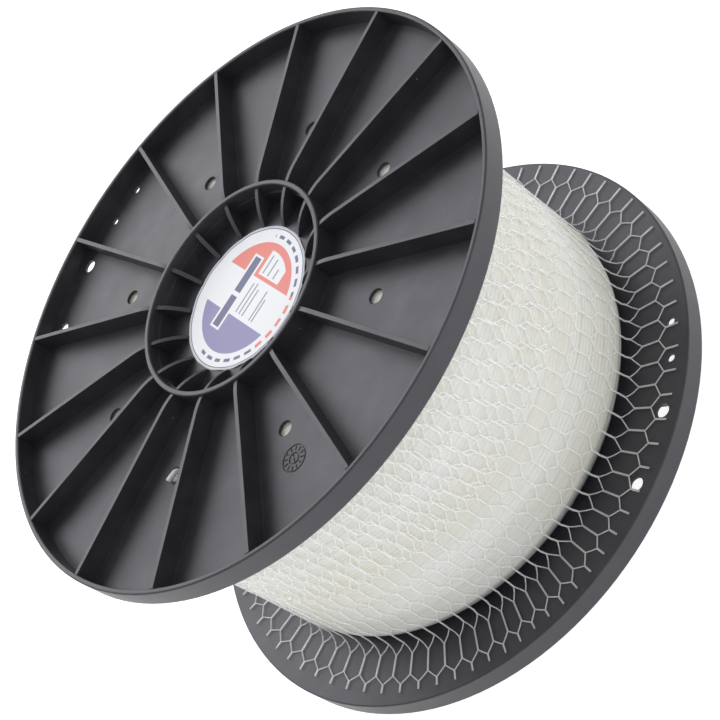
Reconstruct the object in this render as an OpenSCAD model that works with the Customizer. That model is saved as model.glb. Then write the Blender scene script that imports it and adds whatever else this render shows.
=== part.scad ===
// Large moulded reel of nylon line: two ribbed flanges on a barrel, an arbor
// tube, the wound line, the protective net over it and a round hub label.
// The axis of the reel is Z. The reel stands on the hub ring of its rear flange.

/* [Reel] */
// Outer diameter of both flanges
flange_d = 355; // [300:1:440]
// Clear width between the flanges, which the line fills
traverse = 163.2; // [120:0.1:200]
// Height of the rim above the inner face of its flange
flange_depth = 13.8; // [12:0.1:20]
// Outer diameter of the barrel and of the hub ring over it
barrel_d = 132; // [100:1:160]
// Bore for the spindle that the reel turns on
arbor_bore_d = 36; // [20:0.5:44]

/* [Flange moulding] */
// Thickness of the flange plate and of the hub floor
plate_t = 1.8; // [1.5:0.1:4]
// Thickness of the rim wall
rim_wall = 3; // [2:0.1:5]
// Rounding of the rim's edges
rim_round = 1; // [0.3:0.1:1.2]
// Number of radial ribs
rib_count = 16; // [8:2:24]
// Thickness of a rib
rib_t = 2.5; // [1.5:0.1:4]
// Direction of the first rib
rib_start = 8.7; // [0:0.1:22]
// How much higher a rib is by the hub than at the rim
rib_rise = 1; // [0:0.1:1.2]
// Angle through which a rib's top curves on its way down to the label
rib_turn = 45; // [20:1:75]
// Height of a rib's end over the hub floor, by the label
rib_end_h = 1.2; // [0.5:0.1:4]
// Distance outside the hub ring where that curve starts
rib_curve_lead = 10; // [4:0.5:30]
// Height of the hub ring above the rim
hub_proud = 1.2; // [0:0.1:4]
// Thickness of the hub ring's wall
ring_wall = 3; // [2:0.1:5]
// Width of the small step inside the hub ring
ring_step = 0.8; // [0:0.1:2]
// Depth of that step below the rim
ring_step_depth = 6.6; // [4:0.1:9]
// Depth of the hub floor below the rim, in the middle
floor_depth = 13.2; // [11:0.1:16]
// How much deeper the hub floor is by the hub ring
floor_fall = 1.6; // [0:0.1:3]

/* [Holes in the flanges] */
// Diameter of the holes where the line's inner end comes out
tail_hole_d = 9; // [4:0.1:16]
// Radius of the circle that these holes lie on
tail_hole_r = 106; // [85:1:130]
// Number of these holes
tail_hole_count = 8; // [2:1:8]
// Distance of the tie-off holes from the flange's edge
tie_hole_inset = 11.2; // [9:0.1:16]
// Diameter of the large tie-off holes
tie_large_d = 8.2; // [4:0.1:9]
// Angle between the two large holes of a pair
tie_large_pair = 14.9; // [8:0.1:16]
// Diameter of the small tie-off holes
tie_small_d = 4.8; // [2:0.1:6]
// Angle between the two small holes of a pair
tie_small_pair = 8.1; // [5:0.1:14]

/* [Date insert] */
// Diameter of the moulding date insert
date_d = 16; // [8:1:20]
// Distance of the insert's centre from the axis
date_r = 128; // [110:1:145]
// Depth of the insert's marks
date_mark = 0.4; // [0.2:0.1:0.8]

/* [Barrel and arbor] */
// Thickness of the barrel's wall
barrel_wall = 3; // [2.4:0.1:5]
// Depth of the flange collar that plugs into the barrel
collar_h = 12; // [8:0.5:20]
// Thickness of the collar's wall
collar_wall = 2.5; // [1.5:0.1:4]
// Height of the collar's snap bead over the collar
bead_h = 0.9; // [0.5:0.1:1.2]
// Width of the snap bead
bead_w = 1.8; // [1:0.1:3]
// Number of stiffening ribs inside the barrel
barrel_rib_count = 8; // [4:1:16]
// Height of these ribs
barrel_rib_h = 5; // [2:0.5:12]
// Thickness of the arbor tube's wall
arbor_wall = 3.5; // [2:0.1:5]
// Thickness of the socket wall around the arbor tube's end
socket_wall = 2.8; // [2:0.1:5]
// Depth of that socket
socket_h = 8; // [4:0.5:12]
// Turn of the rear flange against the front one
rear_turn = 37.6; // [0:0.1:90]
// Clearance between pieces that plug into each other or lie on each other
fit_gap = 0.3; // [0.1:0.05:0.5]

/* [Line] */
// Diameter of the nylon line
line_d = 3; // [1.6:0.1:3.2]
// Diameter over the wound line
pack_d = 280; // [230:1:290]
// How much smaller the winding is where it meets the flanges
shoulder_w = 10; // [4:0.5:20]
// Length over which its shoulder is rounded
shoulder_h = 12.5; // [4:0.5:30]
// Which of the tail holes the line's inner end comes out of
tail_hole_used = 4; // [0:1:7]
// Where the inner end leaves the winding, from the hole's middle towards the hub
tail_inset = 2.7; // [0:0.1:3]
// Radius of the inner end's bend
tail_bend = 3; // [2:0.5:6]
// How far the inner end bends over, away from the hub
tail_lean = 72; // [10:1:80]
// Length of the inner end after its bend
tail_reach = 5.5; // [1:0.5:10]

/* [Net and label] */
// Thickness of the protective net
net_t = 1.2; // [0.8:0.1:2]
// How far from the flange's edge the net's cut ends lie
net_edge = 2; // [1:0.5:25]
// Diameter of the hub label
label_d = 89; // [60:1:100]
// Thickness of the label
label_t = 0.3; // [0.2:0.05:0.5]

/* [Hidden] */
flange_r = flange_d / 2;
barrel_r = barrel_d / 2;
barrel_bore_r = barrel_r - barrel_wall;
ring_in_r = barrel_r - ring_wall;
bore_r = arbor_bore_d / 2;
arbor_r = bore_r + arbor_wall;
socket_r = arbor_r + fit_gap;
label_r = label_d / 2;
pack_r = pack_d / 2;
rim_in_r = flange_r - rim_wall;

// heights in a flange's own frame: its inner face is at 0, its outer side is up
ring_top = flange_depth + hub_proud;
floor_mid = flange_depth - floor_depth;
floor_rim = floor_mid - floor_fall;
rib_peak = flange_depth + rib_rise;
rib_curve_r = barrel_r + rib_curve_lead;
rib_first_r = label_r + fit_gap;
rib_drop = rib_peak - floor_mid - rib_end_h;
collar_r = barrel_bore_r - fit_gap;
bead_z = collar_h - 2 * bead_w;
tie_hole_r = flange_r - tie_hole_inset;

// heights in the reel
rear_face = hub_proud + flange_depth;
front_face = rear_face + traverse;
socket_floor = collar_h - socket_h;
tail_angle = bay(0) + tail_hole_used * 360 / tail_hole_count;

round_fn = 180;
hole_fn = 48;
sink = 0.5;

// middle of the bay that follows rib number i
function bay(i) = rib_start + (i + 0.5) * 360 / rib_count;

// points along an arc about c, from angle a to angle b
function arc(c, r, a, b, n = 6) =
    [for (i = [0:n]) c + r * [cos(a + (b - a) * i / n), sin(a + (b - a) * i / n)]];

// points along a quarter of an ellipse about c with half axes w and h
function shoulder(c, w, h, a, b, n = 10) =
    [for (i = [0:n]) c + [w * cos(a + (b - a) * i / n), h * sin(a + (b - a) * i / n)]];

// height of a rib's top at radius r: a slight slope, then an arc down to the label
function rib_top(r) =
    r > rib_curve_r
        ? flange_depth + rib_rise * (rim_in_r - r) / (rim_in_r - rib_curve_r)
        : let (a = asin(sin(rib_turn) * (rib_curve_r - r) / (rib_curve_r - rib_first_r)))
            rib_peak - rib_drop * (1 - cos(a)) / (1 - cos(rib_turn));

module rim_section() {
    polygon(concat(
        [[rim_in_r, 0]],
        arc([flange_r - rim_round, rim_round], rim_round, -90, 0),
        arc([flange_r - rim_round, flange_depth - rim_round], rim_round, 0, 90),
        arc([rim_in_r + rim_round, flange_depth - rim_round], rim_round, 90, 180)
    ));
}

module ring_section() {
    step_r = ring_in_r - ring_step;
    step_z = flange_depth - ring_step_depth;
    edge = ring_wall / 6;
    polygon([
        [step_r, floor_rim - plate_t],
        [barrel_bore_r - fit_gap, floor_rim - plate_t],
        [barrel_bore_r - fit_gap, 0],
        [barrel_r, 0],
        [barrel_r, ring_top - edge],
        [barrel_r - edge, ring_top],
        [ring_in_r + edge, ring_top],
        [ring_in_r, ring_top - edge],
        [ring_in_r, step_z],
        [step_r, step_z]
    ]);
}

module floor_section() {
    step_r = ring_in_r - ring_step;
    polygon([
        [bore_r, floor_mid - plate_t],
        [label_r, floor_mid - plate_t],
        [step_r + sink, floor_rim - plate_t],
        [step_r + sink, floor_rim],
        [label_r, floor_mid],
        [bore_r, floor_mid]
    ]);
}

module collar_section() {
    polygon([
        [collar_r - collar_wall, floor_rim - plate_t + sink],
        [collar_r - collar_wall, -collar_h],
        [collar_r - 1, -collar_h],
        [collar_r, -collar_h + 1],
        [collar_r, -bead_z - bead_w / 2],
        [collar_r + bead_h, -bead_z],
        [collar_r, -bead_z + bead_w / 2],
        [collar_r, floor_rim - plate_t + sink]
    ]);
}

module socket_section() {
    polygon([
        [bore_r, floor_mid - sink],
        [bore_r, -socket_floor],
        [socket_r, -socket_floor],
        [socket_r, -collar_h],
        [socket_r + socket_wall, -collar_h],
        [socket_r + socket_wall, floor_mid - sink]
    ]);
}

// one rib, from under the label to the rim, crossing the hub ring
module rib() {
    last = rim_in_r + sink;
    foot_r = ring_in_r - ring_step + sink;
    steps = 10;
    rotate([90, 0, 0])
        translate([0, 0, -rib_t / 2])
            linear_extrude(rib_t)
                polygon(concat(
                    [[last, plate_t - sink], [last, flange_depth - rim_round], [rim_in_r, flange_depth]],
                    [for (i = [0:steps]) let (r = rib_curve_r + (rib_first_r - rib_curve_r) * i / steps)
                        [r, rib_top(r)]],
                    [[rib_first_r, floor_mid - sink], [foot_r, floor_rim - sink], [foot_r, plate_t - sink]]
                ));
}

module hole(r, a, d) {
    rotate(a)
        translate([r, 0, -1])
            cylinder(h = plate_t + 2, d = d, $fn = hole_fn);
}

// a pair of tie-off holes about the middle of a bay, here and half a turn on
module hole_pair(i, pair, d) {
    for (half = [0, 180])
        for (side = [-1, 1])
            hole(tie_hole_r, bay(i) + half + side * pair / 2, d);
}

// sunk marks of the date insert: a ring, twelve ticks and a pointer
module date_insert() {
    low = plate_t - date_mark;
    groove = date_d / 20;
    translate([date_r, 0, low]) {
        difference() {
            cylinder(h = 1, d = date_d, $fn = hole_fn);
            translate([0, 0, -1]) cylinder(h = 3, d = date_d - 2 * groove, $fn = hole_fn);
        }
        for (month = [0:11])
            rotate(30 * month)
                translate([date_d * 0.28, -groove / 2, 0])
                    cube([date_d * 0.14, groove, 1]);
        difference() {
            cylinder(h = 1, d = date_d * 0.44, $fn = hole_fn);
            translate([0, 0, -1]) cylinder(h = 3, d = date_d * 0.44 - 2 * groove, $fn = hole_fn);
        }
        translate([-date_d * 0.16, -groove / 2, 0]) cube([date_d * 0.32, groove, 1]);
    }
}

module flange() {
    difference() {
        union() {
            rotate_extrude($fn = round_fn) {
                rim_section();
                ring_section();
                floor_section();
                collar_section();
                socket_section();
                translate([barrel_r - sink, 0])
                    square([rim_in_r - barrel_r + 2 * sink, plate_t]);
            }
            for (i = [0:rib_count - 1])
                rotate(rib_start + i * 360 / rib_count) rib();
        }
        for (i = [0:tail_hole_count - 1])
            hole(tail_hole_r, bay(0) + i * 360 / tail_hole_count, tail_hole_d);
        hole_pair(4, tie_large_pair, tie_large_d);
        hole_pair(3, tie_small_pair, tie_small_d);
        rotate(bay(10)) date_insert();
    }
}

module front_flange() {
    color("#3a3a3d")
        translate([0, 0, front_face]) flange();
}

module rear_flange() {
    color("#3a3a3d")
        translate([0, 0, rear_face])
            rotate([180, 0, rear_turn]) flange();
}

// tube with a groove near each end for the snap bead of the flange's collar
module barrel() {
    groove_r = collar_r + bead_h + fit_gap;
    half_groove = bead_w / 2 + fit_gap;
    color("#313134")
        translate([0, 0, rear_face]) {
            rotate_extrude($fn = round_fn)
                polygon([
                    [barrel_r, 0],
                    [barrel_r, traverse],
                    [barrel_bore_r, traverse],
                    [barrel_bore_r, traverse - bead_z + half_groove],
                    [groove_r, traverse - bead_z],
                    [barrel_bore_r, traverse - bead_z - half_groove],
                    [barrel_bore_r, bead_z + half_groove],
                    [groove_r, bead_z],
                    [barrel_bore_r, bead_z - half_groove],
                    [barrel_bore_r, 0]
                ]);
            for (i = [0:barrel_rib_count - 1])
                rotate(i * 360 / barrel_rib_count)
                    translate([barrel_bore_r - barrel_rib_h, -rib_t / 2, collar_h + 1])
                        cube([barrel_rib_h + sink, rib_t, traverse - 2 * collar_h - 2]);
        }
}

module arbor_tube() {
    color("#313134")
        translate([0, 0, rear_face + socket_floor])
            difference() {
                cylinder(h = traverse - 2 * socket_floor, r = arbor_r, $fn = round_fn);
                translate([0, 0, -1])
                    cylinder(h = traverse + 2, r = bore_r, $fn = round_fn);
            }
}

// outline of the winding, grown by g, with its ends at the flanges' faces
function pack_outline(g) =
    let (low = rear_face, high = front_face, c = pack_r - shoulder_w)
    concat(
        shoulder([c, low + shoulder_h], shoulder_w + g, shoulder_h + g, -90, 0),
        shoulder([c, high - shoulder_h], shoulder_w + g, shoulder_h + g, 0, 90)
    );

module wound_line() {
    color("#e6e8dc")
        rotate_extrude($fn = round_fn)
            polygon(concat(
                [[barrel_r + fit_gap, front_face - fit_gap], [barrel_r + fit_gap, rear_face + fit_gap]],
                [for (p = pack_outline(0)) [p[0], min(max(p[1], rear_face + fit_gap), front_face - fit_gap)]]
            ));
}

// the inner end of the line: a round tube that leaves the winding straight up
// inside its hole, leans over away from the hub and ends straight
module line_inner_end() {
    steps = 6;
    sides = 16;
    bend = [for (i = [0:steps]) let (a = tail_lean * i / steps)
        [tail_bend * (1 - cos(a)), tail_bend * sin(a), a]];
    tip = bend[steps] + tail_reach * [sin(tail_lean), cos(tail_lean), 0];
    rings = concat(bend, [tip]);
    points = [for (q = rings) for (k = [0:sides - 1]) let (t = 360 * k / sides)
        [q[0] + line_d / 2 * cos(t) * cos(q[2]), line_d / 2 * sin(t), q[1] - line_d / 2 * cos(t) * sin(q[2])]];
    side_faces = [for (j = [0:len(rings) - 2]) for (k = [0:sides - 1]) let (m = (k + 1) % sides)
        [j * sides + k, (j + 1) * sides + k, (j + 1) * sides + m, j * sides + m]];
    start_face = [for (k = [0:sides - 1]) k];
    tip_face = [for (k = [sides - 1:-1:0]) (len(rings) - 1) * sides + k];
    color("#e9ebe4")
        rotate(tail_angle)
            translate([tail_hole_r - tail_inset, 0, front_face - fit_gap])
                polyhedron(points, concat([start_face], side_faces, [tip_face]));
}

// closed shell where the net lies: over the winding and flared on both flanges
module net_sleeve() {
    inner = barrel_r + shoulder_w;
    skirt_r = flange_r - net_edge;
    low = rear_face + fit_gap;
    high = front_face - fit_gap;
    color("#f1f3f2")
        difference() {
            rotate_extrude($fn = round_fn)
                polygon(concat(
                    [[inner, low], [skirt_r, low], [skirt_r, low + net_t]],
                    [for (p = pack_outline(fit_gap + net_t)) if (p[1] > low + net_t && p[1] < high - net_t) p],
                    [[skirt_r, high - net_t], [skirt_r, high], [inner, high]]
                ));
            rotate_extrude($fn = round_fn)
                polygon(concat(
                    [[0, front_face + 1], [0, rear_face - 1]],
                    [for (p = pack_outline(fit_gap)) p]
                ));
        }
}

module hub_label() {
    color("#f0f2f6")
        translate([0, 0, front_face + floor_mid])
            cylinder(h = label_t, r = label_r, $fn = round_fn);
}

front_flange();
rear_flange();
barrel();
arbor_tube();
wound_line();
line_inner_end();
net_sleeve();
hub_label();
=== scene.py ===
"""Looks of a moulded reel of nylon line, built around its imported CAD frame.

The flanges, the barrel and the arbor tube are shown as the CAD made them, with
moulded polypropylene on them. The wound line, its inner end, the net sleeve and
the hub label are built here, turn by turn and strand by strand.
"""

import math

import bpy
from mathutils import Euler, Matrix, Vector, noise


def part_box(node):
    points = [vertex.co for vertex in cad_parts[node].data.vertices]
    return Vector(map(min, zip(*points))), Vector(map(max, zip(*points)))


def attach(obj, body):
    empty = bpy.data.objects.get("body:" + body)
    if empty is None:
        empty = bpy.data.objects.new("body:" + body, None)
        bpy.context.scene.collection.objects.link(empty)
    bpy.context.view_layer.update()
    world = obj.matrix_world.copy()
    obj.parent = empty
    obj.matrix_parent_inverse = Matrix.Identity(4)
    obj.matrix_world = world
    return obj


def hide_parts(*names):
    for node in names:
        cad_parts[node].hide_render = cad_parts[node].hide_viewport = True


bl_info = {
    "name": "Moulded line reel",
    "version": (1, 0, 0),
    "blender": (4, 5, 0),
    "location": "View3D > Sidebar > Reel",
    "description": "Builds the winding, net, label and finishes of a moulded reel of nylon line",
    "category": "Object",
}

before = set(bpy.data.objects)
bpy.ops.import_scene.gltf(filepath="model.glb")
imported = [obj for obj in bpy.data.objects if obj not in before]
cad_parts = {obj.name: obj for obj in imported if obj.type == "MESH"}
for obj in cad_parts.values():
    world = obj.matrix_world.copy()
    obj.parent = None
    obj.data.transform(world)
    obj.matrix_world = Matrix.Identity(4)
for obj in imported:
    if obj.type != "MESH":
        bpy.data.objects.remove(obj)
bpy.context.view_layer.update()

MM = 0.001
TURN = 2 * math.pi


def reach(node):
    """Largest distance of a round CAD node from the reel's axis."""
    low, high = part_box(node)
    return max(high.x, high.y, -low.x, -low.y)


FLANGE_R = reach("front_flange")
PACK_R = reach("wound_line")
PACK_LOW, PACK_HIGH = (corner.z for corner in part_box("wound_line"))
BARREL_R = reach("barrel")
REAR_FACE, FRONT_FACE = (corner.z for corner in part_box("barrel"))
LABEL_R = reach("hub_label")
LABEL_LOW, LABEL_HIGH = (corner.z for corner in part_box("hub_label"))
REEL_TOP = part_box("front_flange")[1].z


def linear(code):
    """The linear colour of an sRGB hex value such as "#2b2b2e"."""
    parts = [int(code[i:i + 2], 16) / 255 for i in (1, 3, 5)]
    return tuple(c / 12.92 if c <= 0.04045 else ((c + 0.055) / 1.055) ** 2.4 for c in parts)


def colour(name, description, code):
    return bpy.props.FloatVectorProperty(
        name=name, description=description, subtype="COLOR", size=3, min=0, max=1, default=linear(code)
    )


def length(name, description, millimetres):
    return bpy.props.FloatProperty(
        name=name, description=description, unit="LENGTH", subtype="DISTANCE", min=0, default=millimetres * MM
    )


def angle(name, description, degrees):
    return bpy.props.FloatProperty(
        name=name, description=description, subtype="ANGLE", default=math.radians(degrees)
    )


def share(name, description, part):
    return bpy.props.FloatProperty(name=name, description=description, subtype="FACTOR", min=0, max=1, default=part)


def count(name, description, default):
    return bpy.props.IntProperty(name=name, description=description, min=1, default=default)


class ReelMoulding(bpy.types.PropertyGroup):
    """Finish of the moulded flanges, barrel and arbor tube."""

    plastic: colour("Plastic", "Black polypropylene of the flanges", "#29292c")
    core: colour("Core plastic", "Regrind polypropylene of the barrel and the arbor tube", "#212123")
    dust: colour("Dust", "Packing dust on the flanges", "#b9b7b2")
    grain: length("Grain", "Spacing of the mould's fine spark-eroded grain", 0.35)
    waviness: length("Waviness", "Spacing of the slight sinks in the plate", 28)
    edge: length("Edge radius", "Rounding of the moulded edges", 0.35)


class ReelWinding(bpy.types.PropertyGroup):
    """The wound line and its inner end."""

    line_d: length("Line diameter", "Diameter of the nylon line", 3.0)
    shoulder_w: length("Shoulder width", "How much smaller the winding is at the flanges", 12)
    shoulder_h: length("Shoulder length", "Length over which the shoulder is rounded", 13.5)
    groove: length("Groove", "Depth of the groove between two turns", 0.3)
    unevenness: length("Unevenness", "How far the turns lie in and out", 0.3)
    end_bend: length("End bend", "Radius in which the inner end bends out of its hole", 3)
    end_lean: angle("End lean", "How far the inner end bends over", 72)
    end_reach: length("End reach", "Length of the inner end after its bend", 5.5)
    nylon: colour("Nylon", "Milky nylon in thick layers", "#dededa")
    tint: colour("Tint", "Yellow tint where layers lie deep", "#d1d0c0")
    # grey by the flanges: partly the black flange seen through a few layers, partly painted shade where the shoulder
    # meets the flange
    shade: colour("Shade", "Grey where the dark flange shows through", "#6d7985")
    # painted light: the inner end is coloured whiter than the wound nylon so that it looks brightly lit
    end: colour("Cut end", "The line's bruised and whitened inner end", "#eff2f6")


class ReelNet(bpy.types.PropertyGroup):
    """The protective net sleeve."""

    cells: count("Cells", "Number of meshes round the winding", 80)
    strand: length("Strand", "Thickness of one strand", 0.78)
    joined: length("Joined width", "How far apart the middles of two joined strands lie", 0.44)
    first_row: length("First row", "Height of the first row of knots over the flange's face", 18)
    row_pitch: length("Row pitch", "Spacing of the rows of knots along the winding", 17.6)
    knot: length("Knot height", "Length over which two strands part", 6.4)
    edge_row: length("Edge row", "Distance of the last row of knots from the flange's edge", 15.2)
    edge_pitch: length("Edge pitch", "Spacing of the rows of knots on the flange", 17.8)
    edge_knot: length("Edge knot height", "Height of the last row of knots", 5.0)
    free_end: length("Cut ends", "Mean length of the cut ends outside the last knots", 7)
    turned_back: length("Turned back", "Length of the sleeve's end that is turned back over it", 86)
    polyethylene: colour("Polyethylene", "White translucent polyethylene", "#fbfbfc")
    cover_free: share("Cover", "How much a free strand hides of what lies behind it", 0.85)
    cover_on_line: share("Cover on line", "How much a strand hides of the line that it lies on", 0.42)


class ReelLabel(bpy.types.PropertyGroup):
    """The round paper label in the hub."""

    paper: colour("Paper", "Coated white paper", "#f1f3f8")
    violet: colour("Violet", "Colour field on the left", "#8a86b6")
    coral: colour("Coral", "Colour field on the right", "#ec7e75")
    ink: colour("Ink", "Thin ring and dashes", "#5d6288")
    print_grey: colour("Grey print", "Plain bars that stand in for small print", "#9a9ca6")
    field_r: length("Field radius", "Radius of the coloured fields", 34.2)
    field_gap: length("Field gap", "Half width of the white band between the fields", 12.4)
    curl: length("Curl", "How far the label's edge lifts", 0.35)


class ReelStage(bpy.types.PropertyGroup):
    """Floor, light and camera."""

    floor: colour("Floor", "Opal sheet of the light table", "#c8c8c8")
    table: bpy.props.FloatProperty(name="Table light", description="Light that comes through the floor", default=0.9)
    elevation: angle("Elevation", "How steeply the camera looks down", 37.58)
    heading: angle("Heading", "Turn of the camera about the vertical", -0.36)
    roll: angle("Roll", "Tilt of the camera about its own line of sight", -56.87)
    distance: length("Distance", "Distance of the camera in front of the reel's axis", 857.3)
    height: length("Height", "Height of the camera over the front flange", 556.2)
    lens: bpy.props.FloatProperty(name="Lens", description="Focal length in mm on a 36 mm sensor", default=93.94)
    key: bpy.props.FloatProperty(name="Key light", description="Brightness of the soft light behind", default=2.35)
    fill: bpy.props.FloatProperty(name="Fill light", description="Brightness of the soft light in front", default=0.8)
    ambient: bpy.props.FloatProperty(name="Ambient", description="Strength of the white room", default=0.63)


def add(tree, kind, inputs=None, **settings):
    """Adds a node with its settings, input values and links."""
    node = tree.nodes.new(kind)
    for name, value in settings.items():
        setattr(node, name, value)
    for name, value in (inputs or {}).items():
        if isinstance(value, bpy.types.NodeSocket):
            tree.links.new(value, node.inputs[name])
        else:
            node.inputs[name].default_value = value
    return node


def new_material(name):
    """A material with a node tree that holds only its output."""
    material = bpy.data.materials.new(name)
    material.use_nodes = True
    tree = material.node_tree
    tree.nodes.clear()
    return material, tree, add(tree, "ShaderNodeOutputMaterial")


def opaque(c):
    return (*c, 1.0)


def moulded_polypropylene(name, base, props):
    """Injection-moulded black polypropylene, straight from a spark-eroded tool.

    To the eye it is a satin black that turns to grey under a broad light, with
    slightly uneven reflections over its sinks and a little packing dust.
    """
    material, tree, output = new_material(name)
    place = add(tree, "ShaderNodeTexCoord").outputs["Object"]
    # the grain is drawn at 0.35 mm, a little coarser than a real tool's, so that it shows
    grain = add(tree, "ShaderNodeTexNoise", {"Vector": place, "Scale": 1 / props.grain, "Detail": 2.0})
    sinks = add(tree, "ShaderNodeTexNoise", {"Vector": place, "Scale": 1 / props.waviness, "Detail": 3.0})
    smears = add(tree, "ShaderNodeTexNoise", {"Vector": place, "Scale": 55.0, "Detail": 6.0, "Roughness": 0.65})
    specks = add(tree, "ShaderNodeTexVoronoi", {"Vector": place, "Scale": 90.0})
    # a speck shows in the middle of about one cell in six
    small = add(tree, "ShaderNodeMath", {0: specks.outputs["Distance"], 1: 0.035}, operation="LESS_THAN")
    chosen = add(tree, "ShaderNodeSeparateColor", {"Color": specks.outputs["Color"]})
    rare = add(tree, "ShaderNodeMath", {0: chosen.outputs["Red"], 1: 0.16}, operation="LESS_THAN")
    speck = add(tree, "ShaderNodeMath", {0: small.outputs[0], 1: rare.outputs[0]}, operation="MULTIPLY")
    haze = add(
        tree, "ShaderNodeMapRange",
        {"Value": smears.outputs["Fac"], "From Min": 0.42, "From Max": 0.75, "To Min": 0.0, "To Max": 0.035},
    )
    dusty = add(tree, "ShaderNodeMath", {0: speck.outputs[0], 1: 0.45}, operation="MULTIPLY")
    cover = add(tree, "ShaderNodeMath", {0: haze.outputs[0], 1: dusty.outputs[0]}, operation="ADD")
    tone = add(
        tree, "ShaderNodeMix",
        {"Factor": cover.outputs[0], 6: opaque(base), 7: opaque(props.dust)}, data_type="RGBA",
    )
    rough = add(
        tree, "ShaderNodeMapRange",
        {"Value": smears.outputs["Fac"], "From Min": 0.3, "From Max": 0.7, "To Min": 0.40, "To Max": 0.50},
    )
    edges = add(tree, "ShaderNodeBevel", {"Radius": props.edge}, samples=6)
    low = add(
        tree, "ShaderNodeBump",
        {"Height": sinks.outputs["Fac"], "Normal": edges.outputs[0], "Strength": 0.35, "Distance": 0.6 * MM},
    )
    fine = add(
        tree, "ShaderNodeBump",
        {"Height": grain.outputs["Fac"], "Normal": low.outputs[0], "Strength": 0.25, "Distance": 0.03 * MM},
    )
    shader = add(
        tree, "ShaderNodeBsdfPrincipled",
        {
            "Base Color": tone.outputs[2], "Roughness": rough.outputs[0], "IOR": 1.49,
            "Specular IOR Level": 0.72, "Specular Tint": opaque(linear("#f3f2ff")), "Normal": fine.outputs[0],
        },
    )
    tree.links.new(shader.outputs[0], output.inputs["Surface"])
    return material


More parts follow.
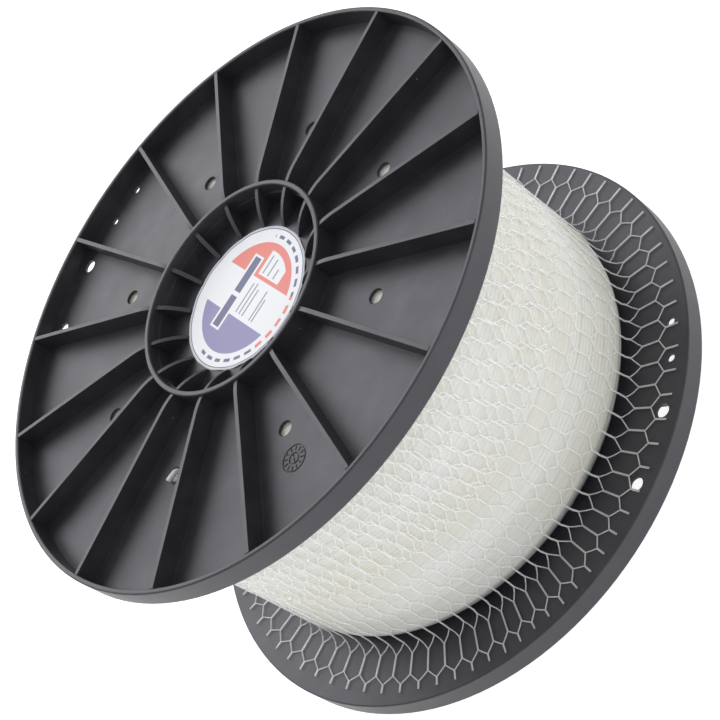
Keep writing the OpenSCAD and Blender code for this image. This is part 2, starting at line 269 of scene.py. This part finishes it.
def nylon_winding(props):
    """Clear nylon monofilament in many layers.

    One turn is nearly clear, but the light scatters between hundreds of them, so
    the winding looks milky, with fine streaks along the turns. By the flanges
    only a few layers lie over black plastic, and its shoulder is painted grey,
    partly for that and partly as painted shade where it meets the flange. Gaps
    between turns and a groove at the shoulder's foot carry painted shade.
    """
    material, tree, output = new_material("nylon_monofilament_wound_painted_shade")
    place = add(tree, "ShaderNodeTexCoord").outputs["Object"]
    # streaks: 1.6 mm wide across the turns and twenty times as long along them
    stretched = add(tree, "ShaderNodeMapping", {"Vector": place, "Scale": (26.0, 26.0, 620.0)})
    streaks = add(tree, "ShaderNodeTexNoise", {"Vector": stretched.outputs[0], "Scale": 1.0, "Detail": 3.0})
    # painted shade in gaps between turns: few, 1 mm wide, and a hand long
    drawn = add(tree, "ShaderNodeMapping", {"Vector": place, "Scale": (7.0, 7.0, 420.0)})
    gap_shade_noise = add(tree, "ShaderNodeTexNoise", {"Vector": drawn.outputs[0], "Scale": 1.0, "Detail": 1.0})
    gap = add(
        tree, "ShaderNodeMapRange",
        {"Value": gap_shade_noise.outputs["Fac"], "From Min": 0.66, "From Max": 0.76, "To Min": 1.0, "To Max": 0.9},
    )
    broad = add(tree, "ShaderNodeMapping", {"Vector": place, "Scale": (5.0, 5.0, 22.0)})
    patches = add(tree, "ShaderNodeTexNoise", {"Vector": broad.outputs[0], "Scale": 1.0, "Detail": 2.0})
    parts = add(tree, "ShaderNodeSeparateXYZ", {"Vector": place})
    height = parts.outputs["Z"]
    flat = add(tree, "ShaderNodeVectorMath", {0: place, 1: (1.0, 1.0, 0.0)}, operation="MULTIPLY")
    radius = add(tree, "ShaderNodeVectorMath", {0: flat.outputs[0]}, operation="LENGTH").outputs["Value"]
    middle = (REAR_FACE + FRONT_FACE) / 2
    half = (FRONT_FACE - REAR_FACE) / 2
    off = add(tree, "ShaderNodeMath", {0: height, 1: middle}, operation="SUBTRACT")
    away = add(tree, "ShaderNodeMath", {0: off.outputs[0]}, operation="ABSOLUTE")
    ragged = add(
        tree, "ShaderNodeMath", {0: streaks.outputs["Fac"], 1: 7 * MM, 2: away.outputs[0]}, operation="MULTIPLY_ADD",
    )
    near = add(
        tree, "ShaderNodeMapRange",
        {
            "Value": ragged.outputs[0], "From Min": half - 9 * MM, "From Max": half - 1 * MM,
            "To Min": 0.0, "To Max": 1.0,
        },
        interpolation_type="SMOOTHSTEP",
    )
    # painted shade by the flange, together with the black seen through thin layers: only the thin shoulder turns
    # grey, not the thick layers behind the flange's holes
    thin = add(
        tree, "ShaderNodeMapRange",
        {"Value": radius, "From Min": PACK_R - 14 * MM, "From Max": PACK_R - 10 * MM, "To Min": 0.0, "To Max": 1.0},
    )
    painted_flange_shade = add(tree, "ShaderNodeMath", {0: near.outputs[0], 1: thin.outputs[0]}, operation="MULTIPLY")
    # painted shade of one groove that runs along the foot of the shoulder
    foot = add(tree, "ShaderNodeMath", {0: away.outputs[0], 1: half - 10.5 * MM}, operation="SUBTRACT")
    foot_off = add(tree, "ShaderNodeMath", {0: foot.outputs[0]}, operation="ABSOLUTE")
    groove = add(
        tree, "ShaderNodeMapRange",
        {"Value": foot_off.outputs[0], "From Min": 0.3 * MM, "From Max": 1.3 * MM, "To Min": 0.78, "To Max": 1.0},
    )
    tinted = add(
        tree, "ShaderNodeMapRange",
        {"Value": patches.outputs["Fac"], "From Min": 0.35, "From Max": 0.7, "To Min": 0.0, "To Max": 1.0},
    )
    body = add(
        tree, "ShaderNodeMix",
        {"Factor": tinted.outputs[0], 6: opaque(props.nylon), 7: opaque(props.tint)}, data_type="RGBA",
    )
    toned = add(
        tree, "ShaderNodeMix",
        {"Factor": painted_flange_shade.outputs[0], 6: body.outputs[2], 7: opaque(props.shade)}, data_type="RGBA",
    )
    streak_light = add(
        tree, "ShaderNodeMapRange",
        {"Value": streaks.outputs["Fac"], "From Min": 0.3, "From Max": 0.7, "To Min": 0.95, "To Max": 1.03},
    )
    dark = add(tree, "ShaderNodeMath", {0: gap.outputs[0], 1: groove.outputs[0]}, operation="MULTIPLY")
    shadowed = add(tree, "ShaderNodeMath", {0: streak_light.outputs[0], 1: dark.outputs[0]}, operation="MULTIPLY")
    streaked = add(
        tree, "ShaderNodeVectorMath", {0: toned.outputs[2], "Scale": shadowed.outputs[0]}, operation="SCALE",
    )
    bump = add(tree, "ShaderNodeBump", {"Height": streaks.outputs["Fac"], "Strength": 0.2, "Distance": 0.2 * MM})
    shader = add(
        tree, "ShaderNodeBsdfPrincipled",
        {
            "Base Color": streaked.outputs[0], "Roughness": 0.34, "IOR": 1.53,
            "Subsurface Weight": 0.8, "Subsurface Radius": (1.0, 1.0, 0.9), "Subsurface Scale": 2.5 * MM,
            "Sheen Weight": 0.25, "Sheen Roughness": 0.5, "Normal": bump.outputs[0],
        },
    )
    tree.links.new(shader.outputs[0], output.inputs["Surface"])
    return material


def nylon_cut_end_painted_light(props):
    """The same nylon where it was cut and bent, with a dull face; its colour is painted light, whiter than the wound
    nylon, so that the end looks brightly lit.
    """
    material, tree, output = new_material("nylon_monofilament_cut_end_painted_light")
    place = add(tree, "ShaderNodeTexCoord").outputs["Object"]
    end_mottle = add(tree, "ShaderNodeTexNoise", {"Vector": place, "Scale": 900.0, "Detail": 3.0})
    # random patches between the painted-light white and the plain nylon
    tone = add(
        tree, "ShaderNodeMix",
        {"Factor": end_mottle.outputs["Fac"], 6: opaque(props.end), 7: opaque(props.nylon)}, data_type="RGBA",
    )
    bump = add(tree, "ShaderNodeBump", {"Height": end_mottle.outputs["Fac"], "Strength": 0.2, "Distance": 0.1 * MM})
    shader = add(
        tree, "ShaderNodeBsdfPrincipled",
        {
            "Base Color": tone.outputs[2], "Roughness": 0.3, "IOR": 1.53,
            "Subsurface Weight": 0.4, "Subsurface Radius": (1.0, 1.0, 1.0), "Subsurface Scale": 1.0 * MM,
            "Normal": bump.outputs[0],
        },
    )
    tree.links.new(shader.outputs[0], output.inputs["Surface"])
    return material


def extruded_polyethylene(name, cover, depth, props):
    """Extruded polyethylene net, drawn out while warm.

    Its strands are waxy and let much light through, so that they stand out
    bright on black plastic and almost vanish where they lie on the milky line
    and are lit from below.
    """
    material, tree, output = new_material(name)
    place = add(tree, "ShaderNodeTexCoord").outputs["Object"]
    draw = add(tree, "ShaderNodeTexNoise", {"Vector": place, "Scale": 260.0, "Detail": 3.0})
    tone = add(
        tree, "ShaderNodeMapRange",
        {"Value": draw.outputs["Fac"], "From Min": 0.3, "From Max": 0.7, "To Min": 0.9, "To Max": 1.0},
    )
    white = add(
        tree, "ShaderNodeVectorMath", {0: tuple(props.polyethylene), "Scale": tone.outputs[0]}, operation="SCALE",
    )
    bump = add(tree, "ShaderNodeBump", {"Height": draw.outputs["Fac"], "Strength": 0.3, "Distance": 0.2 * MM})
    shader = add(
        tree, "ShaderNodeBsdfPrincipled",
        {
            "Base Color": white.outputs[0], "Roughness": 0.35, "IOR": 1.51, "Alpha": cover,
            "Subsurface Weight": depth, "Subsurface Radius": (1.0, 1.0, 1.0), "Subsurface Scale": 3.0 * MM,
            "Normal": bump.outputs[0],
        },
    )
    tree.links.new(shader.outputs[0], output.inputs["Surface"])
    return material


def mesh_piece(name, vertices, faces, material, slot, *nodes):
    """A smooth-shaded piece that rides on the reel and stands for some CAD nodes."""
    mesh = bpy.data.meshes.new(name)
    mesh.from_pydata(vertices, [], faces)
    mesh.validate()
    mesh.polygons.foreach_set("use_smooth", [True] * len(mesh.polygons))
    mesh.materials.append(material)
    piece = bpy.data.objects.new(name, mesh)
    bpy.context.scene.collection.objects.link(piece)
    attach(piece, "root")
    if nodes:
        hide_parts(*nodes)
    return piece


def tube(vertices, faces, path, outward, width, height, sides):
    """Adds a closed tube along path. outward gives the side that its height is measured to."""
    first = len(vertices)
    last = len(path) - 1
    for i, point in enumerate(path):
        along = (path[min(i + 1, last)] - path[max(i - 1, 0)]).normalized()
        across = along.cross(outward[i]).normalized()
        up = across.cross(along)
        for k in range(sides):
            t = TURN * k / sides
            vertices.append(point + across * (width / 2 * math.cos(t)) + up * (height / 2 * math.sin(t)))
    for i in range(last):
        for k in range(sides):
            a = first + i * sides + k
            b = first + i * sides + (k + 1) % sides
            faces.append((a, a + sides, b + sides, b))
    faces.append(tuple(first + k for k in range(sides)))
    faces.append(tuple(first + last * sides + k for k in reversed(range(sides))))


def pack_outline(props):
    """The winding's outline as (radius, height) pairs, from the bore round the outside and back."""
    centre = PACK_R - props.shoulder_w
    low = PACK_LOW + props.shoulder_h
    high = PACK_HIGH - props.shoulder_h
    bore = BARREL_R + (PACK_LOW - REAR_FACE)
    steps = 24
    rear = [(centre + props.shoulder_w * math.cos(t), low + props.shoulder_h * math.sin(t))
            for t in (math.pi / 2 * (i / steps - 1) for i in range(steps + 1))]
    front = [(r, low + high - z) for r, z in reversed(rear)]
    return [(bore, PACK_LOW)] + rear + front + [(bore, PACK_HIGH)]


def walk(outline, step):
    """Points every step along an outline: (radius, height, distance, normal radius, normal height)."""
    found = []
    done = 0.0
    for (r0, z0), (r1, z1) in zip(outline, outline[1:]):
        run = math.hypot(r1 - r0, z1 - z0)
        if run < 1e-9:
            continue
        while len(found) * step <= done + run:
            t = (len(found) * step - done) / run
            here = (r0 + (r1 - r0) * t, z0 + (z1 - z0) * t)
            found.append((*here, len(found) * step, (z1 - z0) / run, (r0 - r1) / run))
        done += run
    return found


class REEL_OT_mouldings(bpy.types.Operator):
    """Finish the flanges, the barrel and the arbor tube"""

    bl_idname = "reel.mouldings"
    bl_label = "Mouldings"

    def execute(self, context):
        props = context.scene.reel_moulding
        black = moulded_polypropylene("polypropylene_black_moulded", props.plastic, props)
        core = moulded_polypropylene("polypropylene_regrind_moulded", props.core, props)
        finishes = {"front_flange": black, "rear_flange": black, "barrel": core, "arbor_tube": core}
        for node, material in finishes.items():
            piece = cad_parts[node]
            piece.data.materials.clear()
            piece.data.materials.append(material)
        return {"FINISHED"}


class REEL_OT_wound_line(bpy.types.Operator):
    """Wind the nylon line on the barrel"""

    bl_idname = "reel.wound_line"
    bl_label = "Wound line"

    def execute(self, context):
        props = context.scene.reel_winding
        per_turn = 6
        around = 288
        rows = walk(pack_outline(props), props.line_d / per_turn)
        vertices = []
        for r, z, s, nr, nz in rows:
            for k in range(around):
                t = TURN * k / around
                c, d = math.cos(t), math.sin(t)
                phase = (s / props.line_d - k / around) % 1.0
                sink = props.groove * (1 - math.sqrt(max(0.0, 1 - (2 * phase - 1) ** 2)))
                lie = noise.noise(Vector((s / (0.9 * props.line_d), 1.7 * c, 1.7 * d)))
                swell = noise.noise(Vector((s / (14 * props.line_d), 1.3 * c, 1.3 * d + 7)))
                inward = sink + props.unevenness * (1 + 0.6 * lie + 0.4 * swell)
                q = r - nr * inward
                vertices.append((q * c, q * d, z - nz * inward))
        faces = []
        for i in range(len(rows)):
            j = (i + 1) % len(rows)
            for k in range(around):
                m = (k + 1) % around
                faces.append((i * around + k, i * around + m, j * around + m, j * around + k))
        mesh_piece("wound_line_turns", vertices, faces, nylon_winding(props), "line", "wound_line")
        return {"FINISHED"}


class REEL_OT_line_end(bpy.types.Operator):
    """Bring the line's inner end out of its hole"""

    bl_idname = "reel.line_end"
    bl_label = "Line's inner end"

    def execute(self, context):
        props = context.scene.reel_winding
        low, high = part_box("line_inner_end")
        middle = (low + high) / 2
        outward = Vector((middle.x, middle.y, 0)).normalized()
        radius = props.line_d / 2
        # the point nearest to the hub is where the line leaves the winding
        inner = min(v.co.dot(outward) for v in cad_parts["line_inner_end"].data.vertices)
        start = outward * (inner + radius) + Vector((0, 0, low.z))
        bend = props.end_bend
        lean = props.end_lean
        steps = 14
        path, up = [], []
        for i in range(steps + 1):
            a = lean * i / steps
            path.append(start + outward * bend * (1 - math.cos(a)) + Vector((0, 0, bend * math.sin(a))))
            up.append(Vector((0, 0, math.sin(a))) - outward * math.cos(a))
        way = outward * math.sin(lean) + Vector((0, 0, math.cos(lean)))
        for i in range(1, 5):
            path.append(path[steps] + way * props.end_reach * i / 4)
            up.append(up[steps])
        vertices, faces = [], []
        tube(vertices, faces, path, up, props.line_d, props.line_d, 20)
        mesh_piece("line_inner_end_stub", vertices, faces, nylon_cut_end_painted_light(props), "line", "line_inner_end")
        return {"FINISHED"}


def wobble(x, y, seed):
    """Smooth random value from -1 to 1 that repeats after one turn of x."""
    return noise.noise(Vector((2.2 * math.cos(x) + seed, 2.2 * math.sin(x), y)))


# the net is bunched on one side of the reel and drawn apart on the other (radians round the reel)
BUNCHED_AT = math.radians(250)
BUNCHED_HALVES = 0.07
BUNCHED_QUARTERS = 0.02
# it was pulled over with a slight twist (radians per metre of height), which turns round at this angle
TWIST = 1.1
TWIST_TURNS_AT = math.radians(262)
# slack of the strands: sideways as a share of a mesh, and along the net
SLACK_SIDEWAYS = 0.26
SLACK_ALONG = 1.3 * MM
# the last knots wander in and out along the flange, three times round and once round
EDGE_AT = math.radians(245)
EDGE_THRICE = 1.9 * MM
EDGE_ONCE = 0.9 * MM
# the cut ends are longest here, and some are nicked short
LONGEST_ENDS_AT = math.radians(20)
ENDS_VARY = 2.4 * MM
ENDS_NICKED = 1.6 * MM


class NetPath:
    """Way of the net by distance from its middle: out along the rear flange, and tucked in at the front."""

    def __init__(self, lift):
        self.r = PACK_R + lift
        self.half = (FRONT_FACE - REAR_FACE) / 2
        self.middle = (FRONT_FACE + REAR_FACE) / 2
        # height of the strands' middle over the flange, and the radius of their bend down to it
        self.face = 0.85 * MM
        self.bend = 4.5 * MM
        self.straight = self.half - self.face - self.bend
        self.curve = self.bend * math.pi / 2
        # radius in which the front end is tucked in behind the flange
        self.tuck = 9 * MM
        self.front = self.half - self.tuck
        self.last = self.front + self.tuck * math.radians(74)

    def at(self, s):
        """(radius, height, outward radius, outward height) at distance s."""
        if s > self.front:
            a = (s - self.front) / self.tuck
            r = self.r - self.tuck * (1 - math.cos(a))
            return r, self.middle + self.front + self.tuck * math.sin(a), math.cos(a), math.sin(a)
        if s >= -self.straight:
            return self.r, self.middle + s, 1.0, 0.0
        beyond = -s - self.straight
        if beyond <= self.curve:
            a = beyond / self.bend
            r = self.r + self.bend * (1 - math.cos(a))
            return r, self.middle - self.straight - self.bend * math.sin(a), math.cos(a), math.sin(a)
        return self.r + self.bend + beyond - self.curve, self.middle - self.half + self.face, 0.0, 1.0

    def on_flange(self, radius):
        """Distance at which the net lies at a radius on the rear flange."""
        return -(self.straight + self.curve + radius - self.r - self.bend)


class REEL_OT_net_sleeve(bpy.types.Operator):
    """Pull the net sleeve over the winding"""

    bl_idname = "reel.net_sleeve"
    bl_label = "Net sleeve"

    def execute(self, context):
        props = context.scene.reel_net
        inner = NetPath(lift=0.7 * MM)
        outer = NetPath(lift=1.15 * MM)
        flat = 0.92 * props.strand
        sides = 6
        half = inner.half
        pitch = props.row_pitch
        edge = inner.on_flange(FLANGE_R - props.edge_row)
        knots = [(edge, props.edge_knot), (edge + props.edge_pitch, 1.15 * props.knot)]
        last_row = int((inner.front + half - props.first_row - props.knot / 2) / pitch)
        knots += [(props.first_row - half + pitch * i, props.knot) for i in range(last_row + 1)]
        vertices, faces = [], []
        cell = TURN / props.cells
        aside = 0.33
        for column in range(props.cells):
            for hand in (-1, 1):
                start = edge - props.edge_knot / 2 - self.cut_end(props, column * cell)
                points, outward = self.strand(props, inner, knots, start, inner.last, column * cell, hand, 0.0)
                tube(vertices, faces, points, outward, props.strand, flat, sides)
        # the front end of the sleeve comes back over it, a third of a mesh aside, and ends in cut strands
        back = half - props.turned_back
        knots = [(back + pitch * i, props.knot) for i in range(1 + int((outer.front - back) / pitch))]
        for column in range(props.cells):
            turn = (column + aside) * cell
            for hand in (-1, 1):
                start = back - props.knot / 2 - (3 + 2 * wobble(turn, 5.0, 41.0)) * MM
                points, outward = self.strand(props, outer, knots, start, outer.last, turn, hand, 60.0)
                tube(vertices, faces, points, outward, props.strand, flat, sides)
        net = mesh_piece(
            "net_sleeve_mesh", vertices, faces,
            extruded_polyethylene("polyethylene_extruded_net", props.cover_free, 1.0, props), "net", "net_sleeve",
        )
        net.data.materials.append(
            extruded_polyethylene("polyethylene_extruded_net_on_line", props.cover_on_line, 0.0, props)
        )
        # so much light passes under and through the strands that they throw no visible shadow
        net.visible_shadow = False
        lowest = REAR_FACE + 2 * props.strand
        for face in net.data.polygons:
            face.material_index = int(face.center.z > lowest)
        return {"FINISHED"}

    def strand(self, props, path, knots, first, last, start, hand, seed):
        """One strand: it runs joined to its neighbour on one side, then to the one on the other side."""
        stations = [(first, 0.0)]
        for i, (s, height) in enumerate(knots):
            side = float(i % 2)
            k = height / 2
            stations += [(s - k, side), (s - 0.8 * k, 0.88 * side + 0.06), (s, 0.5),
                         (s + 0.8 * k, 0.94 - 0.88 * side), (s + k, 1.0 - side)]
            end = knots[i + 1][0] - knots[i + 1][1] / 2 if i + 1 < len(knots) else last
            gap = end - s - k
            steps = max(2, round(gap / (4 * MM)))
            stations += [(s + k + gap * j / steps, 1.0 - side) for j in range(1, steps)]
        stations.append((last, stations[-1][1]))
        cell = TURN / props.cells
        points, outward = [], []
        for s, share in stations:
            r = path.at(s)[0]
            beside = props.joined / 2 / r * (1 - 2 * share)
            turn = start + hand * (share * cell / 2 + beside)
            phase = turn - BUNCHED_AT
            turn -= BUNCHED_HALVES * math.sin(2 * phase) + BUNCHED_QUARTERS * math.sin(4 * phase)
            turn -= TWIST * math.sin(turn - TWIST_TURNS_AT) * (max(s, -path.straight) + path.straight)
            slack = 1.0 if s > -path.straight else 0.3
            turn += slack * cell * SLACK_SIDEWAYS * wobble(turn, s / (50 * MM), 3.1 + seed)
            if s < last and s > -path.straight:
                s = min(last, s + SLACK_ALONG * wobble(turn, s / (40 * MM), 11.7 + seed))
            elif s < -path.straight - path.curve:
                s += self.edge_wave(turn) * min(1.0, (-s - path.straight - path.curve) / (18 * MM))
            r, z, nr, nz = path.at(s)
            c, d = math.cos(turn), math.sin(turn)
            normal = Vector((nr * c, nr * d, nz))
            low = 0.25 * MM * (1 + wobble(turn, s / (18 * MM), 23.0 + seed)) if s < -path.straight else 0.0
            points.append(Vector((r * c, r * d, z)) + normal * low)
            outward.append(normal)
        return points, outward

    def edge_wave(self, turn):
        """How far the net's edge lies further in along the flange at an angle."""
        phase = turn - EDGE_AT
        return -(EDGE_THRICE * math.cos(3 * phase) + EDGE_ONCE * math.cos(phase))

    def cut_end(self, props, turn):
        """Length of the cut ends at an angle: some are cut short and some long."""
        nick = noise.noise(Vector((9 * math.cos(turn), 9 * math.sin(turn), 77.0)))
        return props.free_end + ENDS_VARY * math.cos(turn - LONGEST_ENDS_AT) + ENDS_NICKED * nick


def on_disc(tree, place, radius):
    """Sockets for a label's x, y and radius, each as a share of its own radius."""
    parts = add(tree, "ShaderNodeSeparateXYZ", {"Vector": place})
    x = add(tree, "ShaderNodeMath", {0: parts.outputs["X"], 1: radius}, operation="DIVIDE").outputs[0]
    y = add(tree, "ShaderNodeMath", {0: parts.outputs["Y"], 1: radius}, operation="DIVIDE").outputs[0]
    flat = add(tree, "ShaderNodeCombineXYZ", {"X": x, "Y": y})
    r = add(tree, "ShaderNodeVectorMath", {0: flat.outputs[0]}, operation="LENGTH").outputs["Value"]
    return x, y, r


def between(tree, value, low, high):
    """1 where value lies between low and high, else 0, with a soft edge of a printed dot's size."""
    middle = (low + high) / 2
    off = add(tree, "ShaderNodeMath", {0: value, 1: middle}, operation="SUBTRACT")
    away = add(tree, "ShaderNodeMath", {0: off.outputs[0]}, operation="ABSOLUTE")
    half = (high - low) / 2
    return add(
        tree, "ShaderNodeMapRange",
        {"Value": away.outputs[0], "From Min": half + 0.003, "From Max": half - 0.003},
    ).outputs[0]


def both(tree, *masks):
    """Product of several masks."""
    out = masks[0]
    for mask in masks[1:]:
        out = add(tree, "ShaderNodeMath", {0: out, 1: mask}, operation="MULTIPLY").outputs[0]
    return out


def over(tree, under, mask, ink):
    """Lays an ink over what is printed so far."""
    return add(tree, "ShaderNodeMix", {"Factor": mask, 6: under, 7: ink}, data_type="RGBA").outputs[2]


def printed_paper(props):
    """Coated label paper, offset printed: smooth white with flat inks and a faint tooth."""
    material, tree, output = new_material("paper_coated_printed")
    place = add(tree, "ShaderNodeTexCoord").outputs["Object"]
    x, y, r = on_disc(tree, place, LABEL_R)
    field = props.field_r / LABEL_R
    gap = props.field_gap / LABEL_R
    inside = between(tree, r, -field, field)
    fibres = add(tree, "ShaderNodeTexNoise", {"Vector": place, "Scale": 1 / (0.6 * MM), "Detail": 3.0})
    tone = opaque(props.paper)
    tone = over(tree, tone, both(tree, inside, between(tree, x, -1.0, -gap)), opaque(props.violet))
    tone = over(tree, tone, both(tree, inside, between(tree, x, gap, 1.0)), opaque(props.coral))
    # thin ring near the edge
    tone = over(tree, tone, between(tree, r, 0.952, 0.966), opaque(props.ink))
    # a white panel with grey bars on the right field, and grey bars in the middle
    panel = both(tree, between(tree, x, 0.33, 1.0), between(tree, y, -0.42, 0.06), between(tree, r, -0.67, 0.67))
    tone = over(tree, tone, panel, opaque(props.paper))
    rows = ((-0.02, 0.36, 0.62), (-0.14, 0.36, 0.6), (-0.27, 0.36, 0.5),
            (0.02, -0.22, 0.2), (-0.06, -0.22, 0.22), (-0.14, -0.22, 0.16), (-0.32, -0.22, 0.2), (-0.38, -0.22, 0.1))
    for middle, left, right in rows:
        bar = both(tree, between(tree, y, middle - 0.014, middle + 0.014), between(tree, x, left, right))
        tone = over(tree, tone, bar, opaque(props.print_grey))
    # two plain blocks stand in for the name
    for left, right in ((-0.5, -0.06), (0.0, 0.5)):
        rim = both(tree, between(tree, y, 0.13, 0.35), between(tree, x, left - 0.03, right + 0.03))
        tone = over(tree, tone, rim, opaque(props.paper))
        block = both(tree, between(tree, y, 0.17, 0.31), between(tree, x, left, right))
        tone = over(tree, tone, block, opaque(props.ink))
    # dashes round the lower half stand in for the slogan
    turn = add(tree, "ShaderNodeMath", {0: x, 1: y}, operation="ARCTAN2").outputs[0]
    beat = add(tree, "ShaderNodeMath", {0: turn, 1: 30.0}, operation="MULTIPLY")
    wave = add(tree, "ShaderNodeMath", {0: beat.outputs[0]}, operation="SINE").outputs[0]
    dash = both(tree, between(tree, r, 0.84, 0.885), between(tree, wave, -0.35, 2.0), between(tree, y, -1.0, 0.18))
    tone = over(tree, tone, dash, opaque(props.ink))
    red = both(tree, between(tree, r, 0.835, 0.89), between(tree, wave, -0.35, 2.0), between(tree, x, -0.45, 0.3),
               between(tree, y, -1.0, -0.5))
    tone = over(tree, tone, red, opaque(props.coral))
    bump = add(tree, "ShaderNodeBump", {"Height": fibres.outputs["Fac"], "Strength": 0.15, "Distance": 0.05 * MM})
    shader = add(
        tree, "ShaderNodeBsdfPrincipled",
        {"Base Color": tone, "Roughness": 0.42, "IOR": 1.5, "Normal": bump.outputs[0]},
    )
    tree.links.new(shader.outputs[0], output.inputs["Surface"])
    return material


class REEL_OT_hub_label(bpy.types.Operator):
    """Stick the round label in the hub"""

    bl_idname = "reel.hub_label"
    bl_label = "Hub label"

    def execute(self, context):
        props = context.scene.reel_label
        around = 192
        rings = 24
        vertices = []
        faces = []
        for side in (0, 1):
            base = LABEL_HIGH if side == 0 else LABEL_LOW
            for i in range(1, rings + 1):
                share = i / rings
                for k in range(around):
                    t = TURN * k / around
                    lift = props.curl * share ** 8 * (0.6 + 0.5 * math.cos(16 * t + 0.4) + 0.5 * wobble(t, 2.0, 5.0))
                    ripple = 0.12 * MM * share ** 2 * wobble(t, 3.0 * share, 9.0)
                    radius = LABEL_R * share * (1 - 0.004 * share ** 6 * (1 + math.cos(16 * t)))
                    vertices.append((radius * math.cos(t), radius * math.sin(t), base + max(0.0, lift + ripple)))
            vertices.append((0, 0, base))
        size = rings * around + 1
        for side in (0, 1):
            first = side * size
            flip = side == 1
            for i in range(rings - 1):
                for k in range(around):
                    m = (k + 1) % around
                    quad = (first + i * around + k, first + (i + 1) * around + k,
                            first + (i + 1) * around + m, first + i * around + m)
                    faces.append(quad[::-1] if flip else quad)
            for k in range(around):
                m = (k + 1) % around
                cap = (first + size - 1, first + k, first + m)
                faces.append(cap[::-1] if flip else cap)
        rim = (rings - 1) * around
        for k in range(around):
            m = (k + 1) % around
            faces.append((rim + k, size + rim + k, size + rim + m, rim + m))
        mesh_piece("hub_label_paper", vertices, faces, printed_paper(props), "label", "hub_label")
        return {"FINISHED"}


def opal_acrylic(props):
    """Cast opal acrylic sheet of a light table: matt, pale and softly lit through from below."""
    material, tree, output = new_material("acrylic_opal_lit")
    place = add(tree, "ShaderNodeTexCoord").outputs["Object"]
    cloud = add(tree, "ShaderNodeTexNoise", {"Vector": place, "Scale": 3.0, "Detail": 2.0})
    tone = add(tree, "ShaderNodeMapRange", {"Value": cloud.outputs["Fac"], "To Min": 0.98, "To Max": 1.0})
    pale = add(tree, "ShaderNodeVectorMath", {0: tuple(props.floor), "Scale": tone.outputs[0]}, operation="SCALE")
    shader = add(
        tree, "ShaderNodeBsdfPrincipled",
        {
            "Base Color": pale.outputs[0], "Roughness": 0.8, "IOR": 1.49,
            "Emission Color": (1, 1, 1, 1), "Emission Strength": props.table,
        },
    )
    tree.links.new(shader.outputs[0], output.inputs["Surface"])
    return material


def soft_light(name, brightness, size, place, aim):
    """A square soft box at place that looks at aim, as bright as a white wall times brightness."""
    data = bpy.data.lights.new(name, "AREA")
    data.energy = brightness * math.pi * size * size
    data.shape = "SQUARE"
    data.size = size
    lamp = bpy.data.objects.new(name, data)
    lamp.location = place
    lamp.rotation_euler = (Vector(aim) - Vector(place)).to_track_quat("-Z", "Y").to_euler()
    bpy.context.scene.collection.objects.link(lamp)


class REEL_OT_stage(bpy.types.Operator):
    """Set up the floor, the light and the camera"""

    bl_idname = "reel.stage"
    bl_label = "Stage"

    def execute(self, context):
        props = context.scene.reel_stage
        scene = context.scene
        scene.view_settings.view_transform = "Standard"
        floor_half = 6.0
        mesh = bpy.data.meshes.new("floor")
        corners = [(-1, -1), (1, -1), (1, 1), (-1, 1)]
        mesh.from_pydata([(x * floor_half, y * floor_half, 0) for x, y in corners], [], [(0, 1, 2, 3)])
        mesh.materials.append(opal_acrylic(props))
        floor = bpy.data.objects.new("floor", mesh)
        scene.collection.objects.link(floor)
        world = bpy.data.worlds.new("white_room")
        world.use_nodes = True
        back = world.node_tree.nodes["Background"]
        back.inputs["Color"].default_value = (1, 1, 1, 1)
        back.inputs["Strength"].default_value = props.ambient
        scene.world = world
        middle = (0, 0, REEL_TOP / 2)
        soft_light("key_light", props.key, 1.8, (-0.2, 1.7, 1.3), middle)
        soft_light("fill_light", props.fill, 1.4, (0.8, -1.6, 1.2), middle)
        camera = bpy.data.objects.new("camera", bpy.data.cameras.new("camera"))
        camera.data.lens = props.lens
        camera.data.sensor_width = 36
        camera.data.clip_start = 0.01
        turn = Euler((math.pi / 2 - props.elevation, 0, props.heading)).to_matrix()
        roll = Euler((0, 0, props.roll)).to_matrix()
        camera.rotation_euler = (turn @ roll).to_euler()
        camera.location = (0, -props.distance, REEL_TOP + props.height)
        scene.collection.objects.link(camera)
        scene.camera = camera
        return {"FINISHED"}


class REEL_PT_sidebar(bpy.types.Panel):
    """Sizes, colours and steps of the reel"""

    bl_idname = "REEL_PT_sidebar"
    bl_label = "Line reel"
    bl_space_type = "VIEW_3D"
    bl_region_type = "UI"
    bl_category = "Reel"

    def draw(self, context):
        for operator, group in STEPS:
            box = self.layout.box()
            for name in getattr(context.scene, group).bl_rna.properties.keys():
                if name not in ("rna_type", "name"):
                    box.prop(getattr(context.scene, group), name)
            box.operator(operator.bl_idname)


GROUPS = {
    "reel_moulding": ReelMoulding,
    "reel_winding": ReelWinding,
    "reel_net": ReelNet,
    "reel_label": ReelLabel,
    "reel_stage": ReelStage,
}
STEPS = (
    (REEL_OT_stage, "reel_stage"),
    (REEL_OT_mouldings, "reel_moulding"),
    (REEL_OT_wound_line, "reel_winding"),
    (REEL_OT_line_end, "reel_winding"),
    (REEL_OT_net_sleeve, "reel_net"),
    (REEL_OT_hub_label, "reel_label"),
)


def register():
    for name, group in GROUPS.items():
        bpy.utils.register_class(group)
        setattr(bpy.types.Scene, name, bpy.props.PointerProperty(type=group))
    for operator, _ in STEPS:
        bpy.utils.register_class(operator)
    bpy.utils.register_class(REEL_PT_sidebar)


def unregister():
    bpy.utils.unregister_class(REEL_PT_sidebar)
    for operator, _ in reversed(STEPS):
        bpy.utils.unregister_class(operator)
    for name, group in reversed(GROUPS.items()):
        delattr(bpy.types.Scene, name)
        bpy.utils.unregister_class(group)


def main():
    register()
    bpy.ops.reel.stage()
    bpy.ops.reel.mouldings()
    bpy.ops.reel.wound_line()
    bpy.ops.reel.line_end()
    bpy.ops.reel.net_sleeve()
    bpy.ops.reel.hub_label()


if __name__ == "__main__":
    main()
